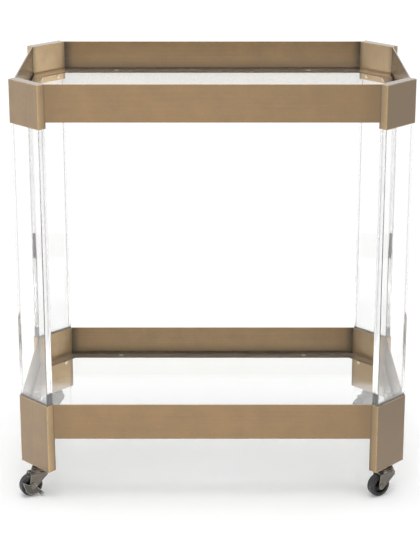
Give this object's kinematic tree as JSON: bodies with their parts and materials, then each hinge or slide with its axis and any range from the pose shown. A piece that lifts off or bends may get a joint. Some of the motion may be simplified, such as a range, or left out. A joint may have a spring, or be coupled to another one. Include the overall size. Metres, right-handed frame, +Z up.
{
  "type": "bar cart",
  "caption": "Bar cart with glass shelves in brushed brass trays with cut corners, clear acrylic posts held in flat brass sleeves, and swivel casters with side brakes.",
  "frame": {"origin": "on the floor under the middle of the cart", "axes": "+Z up, +X along the cart to the right, +Y from the front to the back"},
  "size_m": [0.7624, 0.44, 0.835],
  "materials": {
    "rail_brass": "brushed, antiqued",
    "sleeve_brass": "brushed, antiqued",
    "ledge_brass": "satin, antiqued",
    "screw_brass": "satin",
    "post_acrylic": "clear, polished",
    "shelf_glass": "clear, polished",
    "clear_bumper": "clear",
    "foot_block_metal": "sawn, dull",
    "caster_bronze": "antique bronze plating",
    "caster_steel": "satin",
    "caster_hub": "moulded",
    "caster_tyre": "matt"
  },
  "bodies": {
    "cart_frame": {"upper_rail_front": "rail_brass", "upper_rail_back": "rail_brass", "upper_rail_left": "rail_brass", "upper_rail_right": "rail_brass", "upper_sleeve_front_left": "sleeve_brass", "upper_sleeve_front_right": "sleeve_brass", "upper_sleeve_back_left": "sleeve_brass", "upper_sleeve_back_right": "sleeve_brass", "upper_ledge": "ledge_brass", "upper_glass_shelf": "shelf_glass", "upper_glass_bumpers": "clear_bumper", "upper_sleeve_screws": "screw_brass", "lower_rail_front": "rail_brass", "lower_rail_back": "rail_brass", "lower_rail_left": "rail_brass", "lower_rail_right": "rail_brass", "lower_sleeve_front_left": "sleeve_brass", "lower_sleeve_front_right": "sleeve_brass", "lower_sleeve_back_left": "sleeve_brass", "lower_sleeve_back_right": "sleeve_brass", "lower_ledge": "ledge_brass", "lower_glass_shelf": "shelf_glass", "lower_glass_bumpers": "clear_bumper", "lower_sleeve_screws": "screw_brass", "thrust_washers": "caster_steel", "post_front_left": "post_acrylic", "foot_block_front_left": "foot_block_metal", "caster_stem_front_left": "caster_bronze", "post_front_right": "post_acrylic", "foot_block_front_right": "foot_block_metal", "caster_stem_front_right": "caster_bronze", "post_back_left": "post_acrylic", "foot_block_back_left": "foot_block_metal", "caster_stem_back_left": "caster_bronze", "post_back_right": "post_acrylic", "foot_block_back_right": "foot_block_metal", "caster_stem_back_right": "caster_bronze"},
    "caster_swivel_front_left": {"caster_fork_front_left": "caster_bronze", "caster_axle_front_left": "caster_steel"},
    "caster_wheel_front_left": {"caster_hub_front_left": "caster_hub", "caster_tyre_front_left": "caster_tyre"},
    "brake_lever_front_left": {"brake_lever_front_left": "caster_bronze"},
    "caster_swivel_front_right": {"caster_fork_front_right": "caster_bronze", "caster_axle_front_right": "caster_steel"},
    "caster_wheel_front_right": {"caster_hub_front_right": "caster_hub", "caster_tyre_front_right": "caster_tyre"},
    "caster_swivel_back_left": {"caster_fork_back_left": "caster_bronze", "caster_axle_back_left": "caster_steel"},
    "caster_wheel_back_left": {"caster_hub_back_left": "caster_hub", "caster_tyre_back_left": "caster_tyre"},
    "caster_swivel_back_right": {"caster_fork_back_right": "caster_bronze", "caster_axle_back_right": "caster_steel"},
    "caster_wheel_back_right": {"caster_hub_back_right": "caster_hub", "caster_tyre_back_right": "caster_tyre"},
    "brake_lever_back_right": {"brake_lever_back_right": "caster_bronze"}
  },
  "joints": [
    {"name": "front_left_swivel", "type": "hinge", "parent": "cart_frame", "child": "caster_swivel_front_left", "pos_m": [-0.34387, -0.18387, 0.06], "axis": [0, 0, 1], "continuous": true},
    {"name": "front_left_wheel_spin", "type": "hinge", "parent": "caster_swivel_front_left", "child": "caster_wheel_front_left", "pos_m": [-0.35976, -0.19232, 0.0225], "axis": [0.4695, -0.8829, 0], "continuous": true},
    {"name": "front_left_brake", "type": "hinge", "parent": "caster_swivel_front_left", "child": "brake_lever_front_left", "pos_m": [-0.35976, -0.19232, 0.0225], "axis": [0.4695, -0.8829, 0], "range_deg": [0, 30]},
    {"name": "front_right_swivel", "type": "hinge", "parent": "cart_frame", "child": "caster_swivel_front_right", "pos_m": [0.34387, -0.18387, 0.06], "axis": [0, 0, 1], "continuous": true},
    {"name": "front_right_wheel_spin", "type": "hinge", "parent": "caster_swivel_front_right", "child": "caster_wheel_front_right", "pos_m": [0.3286, -0.19341, 0.0225], "axis": [0.5299, -0.848, 0], "continuous": true},
    {"name": "back_left_swivel", "type": "hinge", "parent": "cart_frame", "child": "caster_swivel_back_left", "pos_m": [-0.34387, 0.18387, 0.06], "axis": [0, 0, 1], "continuous": true},
    {"name": "back_left_wheel_spin", "type": "hinge", "parent": "caster_swivel_back_left", "child": "caster_wheel_back_left", "pos_m": [-0.3566, 0.17114, 0.0225], "axis": [0.7071, -0.7071, 0], "continuous": true},
    {"name": "back_right_swivel", "type": "hinge", "parent": "cart_frame", "child": "caster_swivel_back_right", "pos_m": [0.34387, 0.18387, 0.06], "axis": [0, 0, 1], "continuous": true},
    {"name": "back_right_wheel_spin", "type": "hinge", "parent": "caster_swivel_back_right", "child": "caster_wheel_back_right", "pos_m": [0.32828, 0.17487, 0.0225], "axis": [0.5, -0.866, 0], "continuous": true},
    {"name": "back_right_brake", "type": "hinge", "parent": "caster_swivel_back_right", "child": "brake_lever_back_right", "pos_m": [0.32828, 0.17487, 0.0225], "axis": [0.5, -0.866, 0], "range_deg": [0, 30]}
  ]
}
